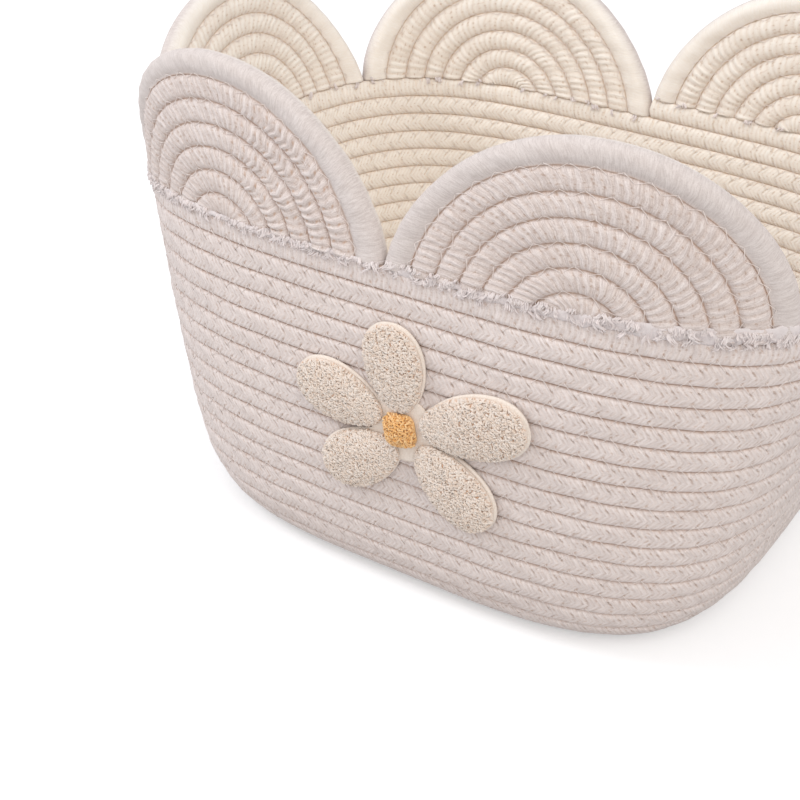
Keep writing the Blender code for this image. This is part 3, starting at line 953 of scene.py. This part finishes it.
def plain_cloth_material(name):
    """Loose cotton fibre or thread with a little change of colour, thin fibre lets light through."""
    light, dark, scale, strength, translucent = CLOTH_FINISHES[name]
    h = Finish(name)
    grain = h.noise(h.add("ShaderNodeTexCoord").outputs["Object"], scale, 3.0, 0.6)
    colour = h.mix(h.ramp(grain, 0.3, 0.7), dark, light)
    h.dress(colour, grain, strength, 0.0002)
    if translucent:
        through = h.add("ShaderNodeBsdfTranslucent", {"Color": colour})
        both = h.add("ShaderNodeMixShader",
                     {0: translucent, 1: h.shader.outputs[0], 2: through.outputs[0]})
        feed_node(h.tree, h.tree.nodes["Material Output"], {"Surface": both.outputs[0]})
    return h.material


def pile_material(name):
    """Looped yarn: lighter on its tops, painted shade, brown, in its recesses, each loop a little
    different.
    """
    light, dark, recess_shade = PILE_FINISHES[name]
    h = Finish(name, sheen=0.25)
    own, height = h.tone()[:2]
    fine = h.noise(h.add("ShaderNodeTexCoord").outputs["Object"], 2600.0, 3.0, 0.6)
    # Painted shade: towards the recess colour where a point lies low in the pile
    colour = h.mix(h.ramp(height, 0.75, 0.05), h.mix(own, dark, light), recess_shade)
    colour = h.mix(h.math("MULTIPLY", h.ramp(fine, 0.35, 0.7), 0.3), colour, dark)
    h.dress(colour, fine, 0.4, 0.0002)
    return h.material


def flower_matrix():
    """Local frame of the flower: X to the right, Y up the wall, Z out of it, Z = 0 on its back."""
    low = FLOWER_UP_WALL - FLOWER_REACH_DOWN
    high = FLOWER_UP_WALL + FLOWER_REACH_UP
    ends = surface(FRONT, np.array([low, high]))
    up = Vector(ends[1] - ends[0]).normalized()
    right = Vector((1, 0, 0))
    out = right.cross(up)
    middle = Vector(surface(FRONT, FLOWER_UP_WALL))
    rows = surface(FRONT, np.linspace(low, high, WALL_TURNS))
    proud = max((Vector(row) - middle).dot(out) for row in rows)
    origin = middle + out * (proud + HALF_ROPE + SEAT_GAP) + right * FLOWER_TO_RIGHT
    return np.array(Matrix.Translation(origin) @ Matrix((right, up, out)).transposed().to_4x4())


FLOWER = flower_matrix()


def in_flower(points):
    """Points given in the flower's frame, in the basket's frame."""
    return points @ FLOWER[:3, :3].T + FLOWER[:3, 3]


def petal_place(petal, along, across):
    """Places of a petal in the flower: along and across go from -1 to 1 over its outline."""
    bearing, distance, direction, length, width = petal[1:]
    x = length / 2 * along
    y = width / 2 * PETAL_DRAW_SHARE * across * (1 + PETAL_DRAW_TAPER_SHARE * along)
    turned_x = x * cos(direction) - y * sin(direction) + distance * cos(bearing)
    turned_y = x * sin(direction) + y * cos(direction) + distance * sin(bearing)
    return np.stack([turned_x, turned_y], -1) * FLOWER_DRAW_SHARE


def flower_reach(directions):
    """Distance from the flower's centre to the backing's edge in each direction."""
    reach = np.full(len(directions), BACKING_LEAST_REACH)
    turn = np.linspace(0.0, 2 * pi, OUTLINE_POINTS)
    for petal in PETALS:
        edge = petal_place(petal, np.cos(turn), np.sin(turn))
        bearing = np.arctan2(edge[:, 1], edge[:, 0])
        size = np.hypot(edge[:, 0], edge[:, 1])
        for number, direction in enumerate(directions):
            off = np.abs((bearing - direction + pi) % (2 * pi) - pi)
            near = off < pi / len(directions) * 2
            if near.any():
                reach[number] = max(reach[number], size[near].max())
    return reach + BORDER_SHOWN


def dome_mesh(name, shape, rings, sides):
    """A closed dome: rings of points from its top to its edge, then a flat underside."""
    share = np.linspace(0.0, 1.0, rings + 1)[1:, None]
    turn = circle(sides)
    top = shape(share * np.cos(turn), share * np.sin(turn), 1.0)
    under = shape(share[::-1] * np.cos(turn), share[::-1] * np.sin(turn), 0.0)
    poles = [shape(np.zeros(1), np.zeros(1), lift) for lift in (1.0, 0.0)]
    points = np.concatenate([np.concatenate([top, under]).reshape(-1, 3), *poles])
    number = np.arange(2 * rings * sides).reshape(2 * rings, sides)
    beside = np.roll(number, -1, axis=1)
    tip = 2 * rings * sides
    fan = np.stack([np.full(sides, tip), number[0], beside[0]], -1)
    base = np.stack([np.full(sides, tip + 1), beside[-1], number[-1]], -1)
    facing_out = [0, 3, 2, 1]
    quads = ring_quads(number)[:, facing_out]
    return new_mesh(name, in_flower(points), quads, np.concatenate([fan, base]))


def loops(random, count, shape):
    """Small curled loops of yarn standing on a dome, and how high each of their points is."""
    place = (np.arange(count) + 0.5) / count
    spin = np.arange(count) * pi * (3 - sqrt(5))
    radius = place ** LOOP_SPREAD_POWER * LOOP_SPREAD_SHARE
    radius = np.clip(radius + random.normal(0.0, LOOP_NUDGES[0], count), 0.0, LOOP_EDGE_SHARE)
    spin = spin + random.normal(0.0, LOOP_NUDGES[1], count)
    u, v = radius * np.cos(spin), radius * np.sin(spin)
    base = shape(u, v, 1.0)
    du = shape(u + SLOPE_STEP, v, 1.0) - shape(u - SLOPE_STEP, v, 1.0)
    dv = shape(u, v + SLOPE_STEP, 1.0) - shape(u, v - SLOPE_STEP, 1.0)
    normal = unit(unit(np.cross(du, dv)) + np.array([0.0, 0.0, LOOP_UPRIGHT]))
    heading = random.uniform(0.0, 2 * pi, count)
    side = unit(np.cross(normal, np.stack([np.cos(heading), np.sin(heading), 0 * heading], -1)))
    lean = unit(np.cross(side, normal))
    size = (LOOP_RADIUS * random.uniform(*LOOP_SIZE_RANGE, count))[:, None]
    rise = unit(normal + lean * random.normal(0.0, LOOP_TILT, count)[:, None])
    sweep = np.linspace(-LOOP_HALF_SWEEP, LOOP_HALF_SWEEP, LOOP_POINTS)
    twist = random.normal(0.0, LOOP_TWIST, count)[:, None] * sweep
    paths = (
        base[:, None]
        + rise[:, None] * (size * (LOOP_RISE + np.cos(sweep)))[..., None]
        + side[:, None] * (size * LOOP_WIDTH_SHARE * np.sin(sweep))[..., None]
        + lean[:, None] * (size * twist)[..., None]
    )
    return paths, np.broadcast_to((1 + np.cos(sweep)) / 2, (count, LOOP_POINTS))


def pile_piece(name, shape, count, seed, material):
    """A dome of backing yarn with its loops, joined into one mesh."""
    random = np.random.default_rng(seed)
    dome = dome_mesh(name, shape, DOME_RINGS, DOME_SIDES)
    # The dome's middle, under the loops, counts as low and so gets the painted recess shade; its
    # edge does not
    bare = np.tile(BARE_TONE, (len(dome.vertices), 1))
    bare[:(DOME_RINGS - 2) * DOME_SIDES, 1] = BARE_MIDDLE_HEIGHT
    add_attribute(dome, "tone", "FLOAT_COLOR", "color", bare)
    paths, height = loops(random, count, shape)
    strands = strand_mesh(f"{name}_loops", in_flower(paths), LOOP_THREAD, LOOP_SIDES)
    own = random.random(count)[:, None]
    tone = np.stack(np.broadcast_arrays(own, height, 0.0, 1.0), -1).reshape(-1, 4)
    add_attribute(strands, "tone", "FLOAT_COLOR", "color", np.repeat(tone, LOOP_SIDES, axis=0))
    first = add_object(f"{name}_dome", dome)
    second = add_object(f"{name}_yarn", strands)
    with bpy.context.temp_override(active_object=first, selected_editable_objects=[first, second]):
        bpy.ops.object.join()
    mesh = first.data
    bpy.data.objects.remove(first)
    return finish_piece(f"{name}_pile", mesh, material, [name])


def make_flower():
    cream = pile_material("cream_loop_pile")
    yellow = pile_material("yellow_loop_pile")
    cloth = plain_cloth_material("flower_backing_cloth")
    directions = circle(BACKING_SIDES)
    reach = flower_reach(directions)

    def backing_shape(u, v, lift):
        turn = np.arctan2(v, u) % (2 * pi)
        edge = np.interp(turn, np.append(directions, 2 * pi), np.append(reach, reach[0]))
        drop = BACKING_EDGE_DROP * np.hypot(u, v) ** BACKING_EDGE_POWER
        return np.stack([edge * u, edge * v, lift * BACKING_THICKNESS * (1 - drop)], -1)

    backing = dome_mesh("flower_backing_cloth", backing_shape, BACKING_RINGS, BACKING_SIDES)
    piece = finish_piece("flower_backing_cloth", backing, cloth,
                         ["flower_backing"])

    seat = BACKING_THICKNESS + SEAT_GAP
    for number, petal in enumerate(PETALS):

        def petal_shape(u, v, lift, petal=petal):
            dome = (1 - np.minimum(u * u + v * v, 1.0)) ** PETAL_ROUND_POWER
            height = dome * (PETAL_THICKNESS - PETAL_PILE_ROOM)
            z = seat + lift * (height + CLOTH_EDGE)
            return np.concatenate([petal_place(petal, u, v), z[..., None]], -1)

        count = int(LOOPS_PER_PETAL * petal[4] * petal[5] / LOOPS_PETAL_AREA)
        seed = PETAL_SEED + number
        pile_piece(petal[0], petal_shape, count, seed, cream)

    def centre_shape(u, v, lift):
        dome = np.sqrt(np.maximum(1 - u * u - v * v, 0.0))
        height = dome * (CENTRE_THICKNESS - CENTRE_PILE_ROOM)
        square = 1 + CENTRE_SQUARENESS * np.cos(4 * np.arctan2(v, u) + CENTRE_TURN)
        x = u * CENTRE_RADIUS * square
        y = v * CENTRE_RADIUS * square
        return np.stack([x, y, seat + lift * (height + CLOTH_EDGE)], -1)

    centre = pile_piece("flower_centre", centre_shape, LOOPS_IN_CENTRE, CENTRE_SEED, yellow)


def make_base_start(material):
    """The rope's straight first length and the tight fold into the first turn of the coil.

    The straight length is drawn wider than its solid, to lie against the coil on both sides.
    """
    left = -(HALF_WIDTH - CORE_TURNS * ROPE_PITCH) + ROPE_PITCH / 2
    coil_y = surface(*coil_place(np.array([BACK_TURN])))[0, 1]
    bend = coil_y / 2
    bend_x = HALF_WIDTH - (CORE_TURNS + 0.5) * ROPE_PITCH - bend
    turn = np.linspace(-pi / 2, pi / 2, FOLD_POINTS)[1:-1]
    fold = np.stack([bend_x + bend * np.cos(turn), bend + bend * np.sin(turn)], -1)
    route = np.concatenate([[[left, 0.0], [bend_x, 0.0]], fold, [[bend_x, coil_y], [0.0, coil_y]]])
    lengths = line_lengths(route)
    across, out, around = section(HALF_ROPE, SECTION_POWER)
    end = int(np.ceil(COIL.length(BACK_TURN) / RING_STEP))
    number = np.arange(end - int(lengths[-1] / RING_STEP), end + 1)
    back = (end - number)[:, None] * RING_STEP + STRAND_SLANT * around
    at = lengths[-1] - np.clip(back - back[-1], 0.0, lengths[-1])

    def on_route(places):
        return np.stack([np.interp(places, lengths, route[:, axis]) for axis in (0, 1)], -1)

    ahead = unit(on_route(at + ROUTE_STEP) - on_route(at - ROUTE_STEP))
    height = strand_height(number)
    relief = STRAND_RELIEF * height * (1 - around ** STRAND_RELIEF_POWER)
    lift = np.sign(out) * (np.abs(out) + relief)
    places = lengths[1] - HALF_ROPE, lengths[1], lengths[-2], lengths[-1]
    half_width = np.interp(at, places, (coil_y - HALF_PITCH, bend, bend, HALF_PITCH))
    middle = on_route(at)
    x = middle[..., 0] + ahead[..., 1] * across * half_width
    y = middle[..., 1] - ahead[..., 0] * across * half_width
    grid = np.stack([x, y, np.maximum(HALF_ROPE - lift, 0.0)], -1)
    mesh = rope_mesh("base_core_looks", grid, number * RING_STEP, across * HALF_PITCH, out,
                     groove_shade_share(across), 0.0, height)
    finish_piece("base_core_looks", mesh, material, ["base_core"])


def make_ropes():
    body, puffed, rim = (rope_material(name) for name in ROPE_FINISHES)
    loose, felted, thread = (
        plain_cloth_material(name) for name in ("loose_cotton", "felted_lint", "sewing_thread"))
    make_base_start(body)
    for node, splits in (("base_coil", BASE_SPLITS), ("wall_coil", WALL_SPLITS)):
        for number, (first, last) in enumerate(zip(splits, splits[1:])):
            body_rope(f"{node}_looks_{number + 1}", first, last, body, [node])
    for side, word in ((1, "outside"), (-1, "inside")):
        body_stitches(f"floor_stitches_{word}", FIRST_STITCH_TURN, PARTING_TURN - 1, side, thread)
        body_stitches(f"wall_stitches_{word}", PARTING_TURN - 1, LAST_TURN - 1, side, thread)
    for scallop in range(SCALLOPS):
        for ring in range(1, SCALLOP_ROPES):
            scallop_rope(scallop, ring, puffed)
        scallop_rope(scallop, SCALLOP_ROPES, rim)
        scallop_stitches(scallop, thread)
        scallop_fray(scallop, loose, felted)


def make_camera():
    data = bpy.data.cameras.new("camera")
    data.lens = CAMERA_LENS
    data.sensor_fit = "HORIZONTAL"
    data.sensor_width = SENSOR_WIDTH
    data.clip_start = 0.01
    data.clip_end = 100.0
    camera = add_object("camera", data)
    level = cos(CAMERA_PITCH)
    ahead = Vector((-sin(CAMERA_YAW) * level, cos(CAMERA_YAW) * level, sin(CAMERA_PITCH)))
    right = Vector((cos(CAMERA_YAW), sin(CAMERA_YAW), 0))
    up = right.cross(ahead)
    rolled_right = right * cos(CAMERA_ROLL) + up * sin(CAMERA_ROLL)
    rolled_up = up * cos(CAMERA_ROLL) - right * sin(CAMERA_ROLL)
    turned = Matrix((rolled_right, rolled_up, -ahead)).transposed().to_4x4()
    camera.matrix_world = Matrix.Translation(CAMERA_PLACE) @ turned
    bpy.context.scene.camera = camera


def switch_for_camera(tree, others, camera, output):
    """Give the camera's own rays one shader and all other rays another."""
    seen = add_node(tree, "ShaderNodeLightPath")
    choose = add_node(tree, "ShaderNodeMixShader", {
        0: seen.outputs["Is Camera Ray"], 1: others.outputs[0], 2: camera.outputs[0]})
    feed_node(tree, output, {"Surface": choose.outputs[0]})


def make_floor():
    mesh = bpy.data.meshes.new("floor")
    corners = [(x * FLOOR_HALF, y * FLOOR_HALF, 0) for x, y in ((-1, -1), (1, -1), (1, 1), (-1, 1))]
    mesh.from_pydata(corners, [], [(0, 1, 2, 3)])
    floor = add_object("floor", mesh)
    floor.location = (0, 0, -FLOOR_DROP)
    material = bpy.data.materials.new("floor")
    material.use_nodes = True
    tree = material.node_tree
    tree.nodes.clear()
    plain = add_node(tree, "ShaderNodeBsdfDiffuse", {"Color": FLOOR_COLOUR})
    shown = add_node(tree, "ShaderNodeBsdfDiffuse", {"Color": FLOOR_COLOUR_SHOWN})
    glow = add_node(tree, "ShaderNodeEmission", {"Color": WHITE, "Strength": FLOOR_GLOW})
    both = add_node(tree, "ShaderNodeAddShader", {0: shown.outputs[0], 1: glow.outputs[0]})
    switch_for_camera(tree, plain, both, add_node(tree, "ShaderNodeOutputMaterial"))
    mesh.materials.append(material)


def make_light():
    world = bpy.data.worlds.new("studio")
    world.use_nodes = True
    tree = world.node_tree
    light = tree.nodes["Background"]
    feed_node(tree, light, {"Color": WORLD_COLOUR, "Strength": WORLD_STRENGTH})
    white = add_node(tree, "ShaderNodeBackground", {"Color": WHITE})
    switch_for_camera(tree, light, white, tree.nodes["World Output"])
    bpy.context.scene.world = world
    for name, place, size, power, colour in LAMPS:
        data = bpy.data.lights.new(name, "AREA")
        data.shape = "DISK"
        data.size = size
        data.energy = power
        data.color = colour
        lamp = add_object(name, data)
        lamp.location = place
        lamp.rotation_euler = (-Vector(place)).to_track_quat("-Z", "Y").to_euler()


def main():
    bpy.context.scene.view_settings.view_transform = "Standard"
    make_camera()
    make_ropes()
    make_flower()
    make_floor()
    make_light()


main()
